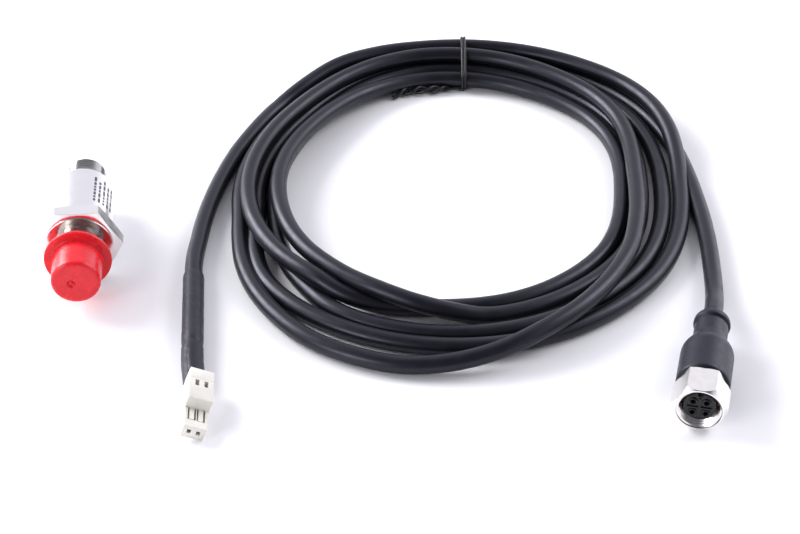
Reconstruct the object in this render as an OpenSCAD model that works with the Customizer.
// Threaded fluid sensor with a round four-pin plug, a push-on thread cap and a coiled connection lead.
// The sensor's axis lies along Y, cap towards -Y and plug towards +Y.
// It rests on one flat of its hexagon, and the table is at Z = 0.

/* [Sensor body] */
// Width across the flats of the hexagon
hex_af = 22; // [21:0.5:24]
// Thickness of the hexagon
hex_t = 5; // [4.5:0.5:8]
// Diameter of the round housing
body_d = 19; // [18.5:0.5:20]
// Length of the round housing behind the hexagon
body_len = 22.2; // [21:0.2:28]
// Major diameter of the process thread
thread_d = 13.16; // [13:0.01:13.3]
// Reach of the process thread in front of the hexagon
thread_reach = 14; // [12:0.5:16]
// Diameter of the pressure port
port_d = 5; // [3:0.5:6]

/* [Round plug] */
// Major diameter of the plug's thread
plug_d = 12; // [12:0.1:12.2]
// Length of the plug behind the housing
plug_len = 11.1; // [10:0.1:13]
// Diameter of the circle that the pins stand on
pin_circle_d = 5; // [4.6:0.1:5.4]
// Diameter of one contact pin
pin_d = 1; // [0.8:0.1:1.2]

/* [Thread cap] */
// Distance from the front of the cap to the hexagon
cap_reach = 18.3; // [18:0.1:21]
// Length of the cap with its flange
cap_len = 12.1; // [8:0.1:12.4]
// Diameter of the cap's nose
cap_d = 14.2; // [14.1:0.1:15]
// Diameter of the cap's flange
cap_flange_d = 19.5; // [17:0.5:21]

/* [Socket of the lead] */
// Width across the flats of the coupling nut
nut_af = 13.2; // [13:0.1:14]
// Length of the coupling nut
nut_len = 10; // [9.5:0.1:11]
// Diameter of the moulded grip
grip_d = 14.6; // [14:0.1:15.4]
// Diameter of the grip's neck
neck_d = 9.4; // [8:0.1:10]
// Length of the socket, nut included
socket_len = 39.5; // [39:0.1:40]
// Turn of the socket away from the sensor's axis
socket_yaw = 17; // [0:1:25]

/* [Cable] */
// Diameter of the cable
cable_d = 5.3; // [5:0.1:5.6]
// Diameter of the shrink sleeve
shrink_d = 6.3; // [6:0.1:7]
// Width of the coil outside
coil_w = 146; // [140:1:150]
// Depth of the coil outside
coil_l = 174; // [165:1:180]
// Width of the space inside the coil
coil_in_w = 100; // [90:1:104]
// Depth of the space inside the coil
coil_in_l = 119; // [110:1:124]
// Height of the coil
coil_h = 12; // [10:0.5:16]

/* [Two-pole plug] */
// Width of the plug's housing
pole_w = 6.7; // [6.4:0.1:7.4]
// Height of the plug's housing
pole_h = 7.7; // [7.2:0.1:8.4]
// Length of the high rear block
block_len = 12.3; // [11:0.1:14]
// Length of the low nose
nose_len = 7.4; // [6:0.1:9]
// Roll of the plug about its own length
pole_roll = 21.5; // [10:0.5:30]

/* [Hidden] */
$fn = 64;
PIN_COUNT = 4;
POLE_COUNT = 2;

// sensor stations along its axis, from the cap to the end of the plug
total_len = cap_reach + hex_t + body_len + plug_len;
nose_y = -total_len / 2;
hex_y = nose_y + cap_reach;
body_y = hex_y + hex_t;
rear_y = body_y + body_len;
end_y = rear_y + plug_len;
axis_z = hex_af / 2;

// one clearance for pieces that stay put and one for pieces that slide or turn
fit_gap = 0.05;
run_gap = 0.08;

// turned base
thread_r = thread_d / 2;
thread_tip_y = hex_y - thread_reach;
tip_chamfer = 1;
relief_r = 5.7;
relief_len = 1.5;
land_r = 9.9;
land_t = 0.4;
hex_round_r = hex_af * 0.475;
hex_chamfer = 0.7;
body_r = body_d / 2;
body_wall = 1.2;
body_chamfer = 0.5;
bore_r = body_r - body_wall;
spigot_len = 8;
chamber_r = 6.6;
chamber_y = body_y + 1.5;
groove_r = 7.3;
groove_y = body_y + 5;
groove_w = 1.4;
seal_r = 0.5;

// measuring cell stack
cell_r = 6.45;
cell_t = 2.6;
cell_ring_r = 0.55;
cell_ring_pitch_r = 5;
cell_y = chamber_y + 2 * cell_ring_r + 2 * fit_gap;
retainer_in_r = 4.6;
retainer_t = 2;
retainer_slot_w = 1.2;
retainer_slot_t = 0.8;
retainer_y = cell_y + cell_t + fit_gap;

// circuit board and what stands on it
liner_wall = 0.4;
liner_y = body_y + spigot_len + fit_gap;
flange_t = 1.7;
flange_y = rear_y - flange_t;
liner_len = flange_y - liner_y - fit_gap;
board_w = 12;
board_t = 1;
board_y = retainer_y + retainer_t + 0.8;
board_len = 8;
chip_w = 4;
chip_len = 4;
chip_t = 1.2;
part_w = 1.6;
part_len = 0.8;
part_t = 0.7;
part_pitch = 2.6;
flex_w = 5;
flex_t = 0.2;
flex_grip = 1.5;
wire_r = 0.35;

// plug of the sensor
plug_r = plug_d / 2;
shell_bore_r = 4.9;
undercut_r = 5.1;
undercut_len = 1.6;
plug_chamfer = 0.5;
carrier_front_y = rear_y - 3.2;
carrier_rear_y = rear_y + 2.3;
carrier_r = shell_bore_r - fit_gap;
key_w = 1.2;
key_h = 0.7;
key_len = 7;
pin_r = pin_d / 2;
pin_tail = 1;
pin_tip_y = end_y - 0.8;
plug_ring_r = 0.72;
plug_ring_pitch_r = undercut_r + plug_ring_r + fit_gap;

// cap
cap_r = cap_d / 2;
cap_taper = 0.15;
cap_edge_r = 1.4;
cap_end_t = 1.2;
cap_flange_t = 1;
cap_bore_r = thread_r + run_gap;
cap_y = nose_y + cap_len;
dimple_r = 1.95;
dimple_end_r = 0.65;
dimple_t = 0.3;

// socket of the lead, measured back from the nut's front face
socket_x = 166.3;
socket_y = -93.1;
socket_z = nut_af / sqrt(3) + 0.1;
nut_round_r = nut_af * 0.5;
nut_slope = 1.4;
nut_mouth_r = 6.1;
nut_mouth_t = 0.5;
nut_thread_r = 5.6;
nut_thread_len = 7.5;
core_r = 4.9;
core_len = 12.2;
collar_r = 5.35;
collar_from = 6.2;
collar_to = 7.3;
insert_r = 4.25;
insert_from = 1.5;
insert_to = 6;
insert_key_w = 1.4;
insert_key_h = 0.9;
contact_r = 0.62;
contact_bore_r = 0.46;
contact_from = 3;
hole_r = 0.68;
insert_ring_r = 0.48;
insert_ring_pos = 5.5;
grip_r = grip_d / 2;
grip_from = nut_len + 0.3;
grip_edge = 0.6;
shoulder_from = 23;
shoulder_to = 31;
neck_r = neck_d / 2;
neck_to = 36.4;
rim_r = 5.15;
rim_end_r = 3.6;
rim_at = socket_len - (rim_r - rim_end_r);
blend_steps = 8;

// cable, with its routes as points picked along the table
cable_r = cable_d / 2;
cable_sides = 10;
cable_z = 2.7;
socket_route = [
    [177.2, -57.3, 7.7], [178.3, -53.5, 7.5], [180.2, -47, 6.2], [182.2, -39, 4], [183.7, -31, 3],
    [185, -22, cable_z], [186.2, -12, cable_z], [187, -2, cable_z], [187.4, 8, cable_z],
    [187.6, 17, cable_z], [186.5, 28, cable_z], [183.5, 40, cable_z]
];
plug_route = [
    [32.8, -17, 3.2], [32.8, -13, 3.2], [33.2, -6, 3], [34.1, 1, 2.8], [35.3, 10, cable_z],
    [37.4, 21, cable_z], [40.2, 32, cable_z], [43.6, 43, cable_z], [47.8, 54, cable_z],
    [53, 65, cable_z], [59, 76, cable_z]
];
shrink_r = shrink_d / 2;
shrink_z = 3.2;
shrink_route = [
    [32.8, -17, shrink_z], [32.8, -28, shrink_z], [32.8, -39, shrink_z], [32.8, -50, shrink_z],
    [32.9, -58, shrink_z], [33.3, -63, shrink_z], [33.6, -66.9, shrink_z]
];

// coil and its tie
coil_x = 117;
coil_y = 22;
coil_in_x = 112;
coil_in_y = 27;
tie_x = 123.7;
tie_w = 2.4;
tie_t = 0.9;
tie_in_y = 84.7;
tie_out_y = coil_y + coil_l / 2;
tail_x = 99;
tail_y = 83.4;
tail_len = 24;
tail_r = 1.1;

// two-pole plug, measured from the middle of its rear face towards its nose
pole_x = 34.7;
pole_y = -66.9;
pole_yaw = -1.8;
pole_z = pole_h / 2 * cos(pole_roll) + pole_w / 2 * sin(pole_roll) + 0.05;
pole_pitch = 2.5;
nose_w = 6.2;
nose_h = 4.1;
lip_len = 4;
lip_t = 0.4;
cavity_w = 1.9;
cavity_h = 2.1;
cavity_z = -1.7;
window_w = 1.1;
window_len = 2.4;
window_from = 4.6;
tongue_w = 1.3;
tongue_t = 0.6;
tongue_len = 4.6;
slot_w = 0.5;
slot_len = 4.8;
slot_h = 1;
terminal_w = 1.6;
terminal_h = 1.7;
terminal_wall = 0.25;
terminal_from = 4;
mouth_gap = 0.9;
strand_r = 0.75;
strand_from = 0.7;

PINS = [for (i = [1 : PIN_COUNT]) str("contact_pin_", i)];
WIRES = [for (i = [1 : PIN_COUNT]) str("pin_wire_", i)];
CONTACTS = [for (i = [1 : PIN_COUNT]) str("socket_contact_", i)];
TERMINALS = [for (i = [1 : POLE_COUNT]) str("plug_terminal_", i)];
STRANDS = [for (i = [1 : POLE_COUNT]) str("lead_core_", i)];

// ---- shapes that repeat ----

// Points of an arc about c, from angle a0 to a1
function arc(c, r, a0, a1, n = 6) =
    [for (i = [0 : n]) c + r * [cos(a0 + (a1 - a0) * i / n), sin(a0 + (a1 - a0) * i / n)]];

// Points of a smooth change of radius from r0 at z0 to r1 at z1
function blend(r0, z0, r1, z1, n = blend_steps) =
    [for (i = [0 : n]) [r0 + (r1 - r0) * (1 - cos(180 * i / n)) / 2, z0 + (z1 - z0) * i / n]];

function unit(v) = v / norm(v);

// Direction of a route at its point i
function heading(route, i) = unit(route[min(i + 1, len(route) - 1)] - route[max(i - 1, 0)]);

// Ring of points about a route's point i, square to the route
function section(route, i, r, sides) =
    let (
        ahead = heading(route, i),
        across = unit(cross(ahead, [0, 0, 1])),
        up = cross(across, ahead)
    )
    [for (k = [0 : sides - 1]) route[i] + r * (cos(360 * k / sides) * across + sin(360 * k / sides) * up)];

// Round tube swept along a route as one closed solid
module swept(route, r, sides) {
    last = len(route) - 1;
    points = [for (i = [0 : last]) each section(route, i, r, sides)];
    sides_faces = [
        for (i = [0 : last - 1], k = [0 : sides - 1])
            let (next = (k + 1) % sides)
            [i * sides + k, i * sides + next, (i + 1) * sides + next, (i + 1) * sides + k]
    ];
    start_face = [for (k = [sides - 1 : -1 : 0]) k];
    end_face = [for (k = [0 : sides - 1]) last * sides + k];
    polyhedron(points, concat(sides_faces, [start_face, end_face]), convexity = 6);
}

// Sensor axis: the local Z axis runs along Y
module on_axis() {
    translate([0, 0, axis_z]) rotate([-90, 0, 0]) children();
}

// Socket axis: the local Z axis runs back from the nut's front face
module at_socket() {
    translate([socket_x, socket_y, socket_z]) rotate([0, 0, -socket_yaw]) rotate([-90, 0, 0]) children();
}

// Two-pole plug: X across, Z up and -Y towards the nose
module at_plug() {
    translate([pole_x, pole_y, pole_z]) rotate([0, pole_roll, pole_yaw]) children();
}

// Place i on the circle that pins and contacts share
module at_pin(i) {
    rotate([0, 0, 45 + 360 / PIN_COUNT * (i - 1)]) translate([pin_circle_d / 2, 0, 0]) children();
}

// Place of pole i in the two-pole plug
module at_pole(i) {
    translate([(i - 1.5) * pole_pitch, 0, cavity_z]) children();
}

module pipe(r_out, r_in, h) {
    rotate_extrude() translate([r_in, 0]) square([r_out - r_in, h]);
}

module o_ring(pitch_r, r) {
    rotate_extrude() translate([pitch_r, 0]) circle(r = r, $fn = 32);
}

// Hexagon with both ends turned down to a round edge
module turned_hex(af, h, round_r, slope_front, slope_rear) {
    corner_r = af / sqrt(3);
    intersection() {
        cylinder(r = corner_r, h = h, $fn = 6);
        rotate_extrude() polygon([
            [0, 0], [round_r, 0], [corner_r + fit_gap, slope_front],
            [corner_r + fit_gap, h - slope_rear], [round_r, h], [0, h]
        ]);
    }
}

// Stadium with its straight sides along Y
module stadium(w, l) {
    straight = l - w;
    square([w, straight], center = true);
    for (side = [-1, 1]) translate([0, side * straight / 2]) circle(d = w, $fn = 96);
}

// Box centred on X and Z that runs from y0 towards the nose
module slab(w, h, y0, l) {
    translate([-w / 2, -y0 - l, -h / 2]) cube([w, l, h]);
}

// ---- sensor ----

module sensor_base() {
    color("silver") on_axis() difference() {
        union() {
            rotate_extrude() polygon([
                [0, thread_tip_y], [thread_r - tip_chamfer, thread_tip_y],
                [thread_r, thread_tip_y + tip_chamfer], [thread_r, hex_y - land_t - relief_len],
                [relief_r, hex_y - land_t - relief_len + (thread_r - relief_r)],
                [relief_r, hex_y - land_t], [land_r, hex_y - land_t],
                [land_r, hex_y + land_t], [0, hex_y + land_t]
            ]);
            translate([0, 0, hex_y])
                turned_hex(hex_af, hex_t, hex_round_r, hex_chamfer, hex_chamfer);
            translate([0, 0, body_y - fit_gap])
                cylinder(r = bore_r - fit_gap, h = spigot_len + fit_gap);
        }
        translate([0, 0, thread_tip_y - 1]) cylinder(d = port_d, h = chamber_y - thread_tip_y + 2);
        translate([0, 0, chamber_y]) cylinder(r = chamber_r, h = spigot_len);
        translate([0, 0, groove_y]) pipe(bore_r + 1, groove_r, groove_w);
    }
}

module housing_sleeve() {
    color("gainsboro") on_axis() rotate_extrude() polygon([
        [bore_r, body_y], [body_r - body_chamfer / 2, body_y], [body_r, body_y + body_chamfer / 2],
        [body_r, rear_y - body_chamfer], [body_r - body_chamfer, rear_y], [bore_r, rear_y]
    ]);
}

module sleeve_ring() {
    color("black") on_axis() translate([0, 0, groove_y + groove_w / 2])
        o_ring(groove_r + seal_r, seal_r - fit_gap / 2);
}

module cell_ring() {
    color("black") on_axis() translate([0, 0, chamber_y + cell_ring_r + fit_gap])
        o_ring(cell_ring_pitch_r, cell_ring_r);
}

module measuring_cell() {
    color("white") on_axis() translate([0, 0, cell_y]) cylinder(r = cell_r, h = cell_t);
}

module cell_retainer() {
    color("goldenrod") on_axis() translate([0, 0, retainer_y]) difference() {
        pipe(cell_r, retainer_in_r, retainer_t);
        translate([-chamber_r, -retainer_slot_w / 2, retainer_t - retainer_slot_t])
            cube([2 * chamber_r, retainer_slot_w, retainer_t]);
    }
}

module insulating_liner() {
    color("whitesmoke") on_axis() translate([0, 0, liner_y])
        pipe(bore_r - fit_gap, bore_r - fit_gap - liner_wall, liner_len);
}

module cell_flex() {
    color("darkorange") on_axis()
        translate([-flex_w / 2, board_t / 2 + fit_gap, cell_y + cell_t + fit_gap])
            cube([flex_w, flex_t, board_y + flex_grip - cell_y - cell_t]);
}

module circuit_board() {
    color("seagreen") on_axis() translate([-board_w / 2, -board_t / 2, board_y])
        cube([board_w, board_t, board_len]);
}

module board_chip() {
    color("dimgray") on_axis()
        translate([-chip_w / 2, -board_t / 2 - chip_t - fit_gap, board_y + (board_len - chip_len) / 2])
            cube([chip_w, chip_t, chip_len]);
}

module board_parts() {
    color("tan") on_axis() for (side = [-1, 1], step = [0 : 1])
        translate([
            side * (chip_w / 2 + part_w) - part_w / 2,
            -board_t / 2 - part_t - fit_gap,
            board_y + part_pitch * (step + 0.5)
        ])
            cube([part_w, part_t, part_len]);
}

module plug_shell() {
    color("silver") on_axis() rotate_extrude() polygon([
        [shell_bore_r, flange_y], [bore_r - fit_gap, flange_y], [bore_r - fit_gap, rear_y],
        [undercut_r, rear_y], [undercut_r, rear_y + undercut_len], [plug_r, rear_y + undercut_len],
        [plug_r, end_y - plug_chamfer], [plug_r - plug_chamfer, end_y], [shell_bore_r, end_y]
    ]);
}

module plug_ring() {
    color("black") on_axis() translate([0, 0, rear_y + plug_ring_r + fit_gap])
        o_ring(plug_ring_pitch_r, plug_ring_r);
}

module contact_carrier() {
    color("black") on_axis() difference() {
        union() {
            translate([0, 0, carrier_front_y])
                cylinder(r = carrier_r, h = carrier_rear_y - carrier_front_y);
            intersection() {
                translate([0, 0, carrier_rear_y - fit_gap]) cylinder(r = carrier_r, h = key_len);
                translate([-key_w / 2, -carrier_r, carrier_front_y]) cube([key_w, key_h, total_len]);
            }
        }
        for (i = [1 : PIN_COUNT]) at_pin(i)
            translate([0, 0, carrier_front_y - 1]) cylinder(r = pin_r + fit_gap, h = total_len, $fn = 24);
    }
}

module contact_pin(i) {
    color("gold") on_axis() at_pin(i) rotate_extrude($fn = 24) polygon(concat(
        [[0, carrier_front_y - pin_tail], [pin_r, carrier_front_y - pin_tail]],
        arc([0, pin_tip_y - pin_r], pin_r, 0, 90)
    ));
}

module pin_wire(i) {
    from_y = board_y + board_len + fit_gap;
    wire_len = carrier_front_y - pin_tail - fit_gap - from_y;
    color("firebrick") on_axis() at_pin(i)
        translate([0, 0, from_y]) cylinder(r = wire_r, h = wire_len, $fn = 16);
}

module thread_cap() {
    nose_corner = [cap_r - cap_edge_r, nose_y + cap_edge_r];
    color("red") on_axis() difference() {
        rotate_extrude() polygon(concat(
            [[0, nose_y]], arc(nose_corner, cap_edge_r, -90, 0),
            [[cap_r + cap_taper, cap_y - cap_flange_t], [cap_flange_d / 2, cap_y - cap_flange_t],
             [cap_flange_d / 2, cap_y], [0, cap_y]]
        ));
        translate([0, 0, nose_y + cap_end_t]) cylinder(r = cap_bore_r, h = cap_len);
        translate([0, 0, nose_y - dimple_t]) cylinder(r1 = dimple_r, r2 = dimple_end_r, h = 2 * dimple_t);
    }
}

// ---- socket of the lead ----

module coupling_nut() {
    color("lightsteelblue") at_socket() difference() {
        turned_hex(nut_af, nut_len, nut_round_r, nut_slope, nut_slope / 2);
        translate([0, 0, -1]) cylinder(r = nut_mouth_r, h = nut_mouth_t + 1);
        translate([0, 0, -1]) cylinder(r = nut_thread_r, h = nut_thread_len + 1);
        translate([0, 0, -1]) cylinder(r = core_r + run_gap, h = nut_len + 2);
    }
}

module socket_core() {
    color("dimgray") at_socket() rotate_extrude() polygon([
        [0, insert_to + fit_gap], [core_r, insert_to + fit_gap], [core_r, collar_from],
        [collar_r, collar_from], [collar_r, collar_to], [core_r, collar_to],
        [core_r, core_len], [0, core_len]
    ]);
}

module socket_insert() {
    color("black") at_socket() difference() {
        translate([0, 0, insert_from]) cylinder(r = insert_r, h = insert_to - insert_from);
        for (i = [1 : PIN_COUNT]) at_pin(i)
            translate([0, 0, insert_from - 1])
                cylinder(r = hole_r, h = insert_to - insert_from + 2, $fn = 24);
        translate([-insert_key_w / 2, -insert_r - 1, insert_from - 1])
            cube([insert_key_w, insert_key_h + 1, insert_ring_pos - insert_ring_r - insert_from]);
    }
}

module socket_ring() {
    color("firebrick") at_socket() translate([0, 0, insert_ring_pos])
        o_ring(insert_r + insert_ring_r + fit_gap, insert_ring_r);
}

module socket_contact(i) {
    color("gold") at_socket() at_pin(i) translate([0, 0, contact_from])
        pipe(contact_r, contact_bore_r, insert_to - contact_from);
}

module socket_grip() {
    color("dimgray") at_socket() difference() {
        rotate_extrude() polygon(concat(
            [[0, grip_from], [grip_r - grip_edge / 2, grip_from], [grip_r, grip_from + grip_edge]],
            blend(grip_r, shoulder_from, neck_r, shoulder_to),
            blend(neck_r, neck_to, rim_r, rim_at),
            arc([rim_end_r, rim_at], rim_r - rim_end_r, 0, 90),
            [[0, socket_len]]
        ));
        translate([0, 0, grip_from - 1])
            cylinder(r = core_r + fit_gap, h = core_len - grip_from + 1 + fit_gap);
    }
}

// ---- cable ----

module cable_socket_run() {
    color("black") swept(socket_route, cable_r, cable_sides);
}

module cable_coil() {
    color("black") linear_extrude(coil_h) difference() {
        translate([coil_x, coil_y]) stadium(coil_w, coil_l);
        translate([coil_in_x, coil_in_y]) stadium(coil_in_w, coil_in_l);
    }
}

module coil_tie() {
    color("darkslategray") {
        translate([tie_x - tie_w / 2, 0, 0]) difference() {
            translate([0, tie_in_y - tie_t, 0])
                cube([tie_w, tie_out_y - tie_in_y + 2 * tie_t, coil_h + tie_t]);
            translate([-1, tie_in_y, tie_t])
                cube([tie_w + 2, tie_out_y - tie_in_y, coil_h - tie_t]);
        }
        translate([tail_x, tail_y, tail_r]) rotate([0, 90, 0]) cylinder(r = tail_r, h = tail_len, $fn = 24);
    }
}

module cable_plug_run() {
    color("black") swept(plug_route, cable_r, cable_sides);
}

module heat_shrink() {
    color("black") swept(shrink_route, shrink_r, cable_sides);
}

// ---- two-pole plug ----

module plug_housing() {
    color("ivory") at_plug() difference() {
        union() {
            slab(pole_w, pole_h, 0, block_len);
            translate([0, 0, (nose_h - pole_h) / 2])
                slab(nose_w, nose_h, block_len - fit_gap, nose_len + fit_gap);
        }
        // step behind the lip that the retainer fills
        translate([0, 0, pole_h / 2]) slab(pole_w + 1, 2 * lip_t, -1, lip_len + 1);
        for (i = [1 : POLE_COUNT]) at_pole(i) {
            slab(cavity_w, cavity_h, -1, block_len + nose_len - mouth_gap + 1);
            slab(terminal_w - 2 * terminal_wall, terminal_h - 2 * terminal_wall, block_len, nose_len + 1);
            translate([0, 0, pole_h / 2]) slab(window_w, pole_h, window_from, window_len);
            for (side = [-1, 1]) translate([side * (tongue_w + slot_w) / 2, 0, cavity_h / 2])
                slab(slot_w, 2 * slot_h, block_len + fit_gap, slot_len);
            translate([0, 0, cavity_h / 2 + tongue_t])
                slab(tongue_w, 2 * slot_h, block_len + tongue_len, slot_len - tongue_len + fit_gap);
        }
    }
}

module plug_retainer() {
    color("white") at_plug() translate([0, 0, (pole_h - lip_t) / 2 + fit_gap / 2])
        slab(pole_w, lip_t, 0, lip_len - fit_gap);
}

module plug_terminal(i) {
    terminal_len = block_len + nose_len - terminal_from - mouth_gap - fit_gap;
    color("tan") at_plug() at_pole(i) difference() {
        slab(terminal_w, terminal_h, terminal_from, terminal_len);
        slab(terminal_w - 2 * terminal_wall, terminal_h - 2 * terminal_wall, 0, block_len + nose_len + 1);
    }
}

module lead_core(i) {
    color("brown") at_plug() at_pole(i) rotate([90, 0, 0]) translate([0, 0, strand_from])
        cylinder(r = strand_r, h = terminal_from - fit_gap - strand_from, $fn = 24);
}

sensor_base();
housing_sleeve();
sleeve_ring();
cell_ring();
measuring_cell();
cell_retainer();
insulating_liner();
cell_flex();
circuit_board();
board_chip();
board_parts();
plug_shell();
plug_ring();
contact_carrier();
thread_cap();
coupling_nut();
socket_core();
socket_insert();
socket_ring();
socket_grip();
cable_socket_run();
cable_coil();
coil_tie();
cable_plug_run();
heat_shrink();
plug_housing();
plug_retainer();
for (i = [1 : PIN_COUNT]) contact_pin(i);
for (i = [1 : PIN_COUNT]) pin_wire(i);
for (i = [1 : PIN_COUNT]) socket_contact(i);
for (i = [1 : POLE_COUNT]) plug_terminal(i);
for (i = [1 : POLE_COUNT]) lead_core(i);
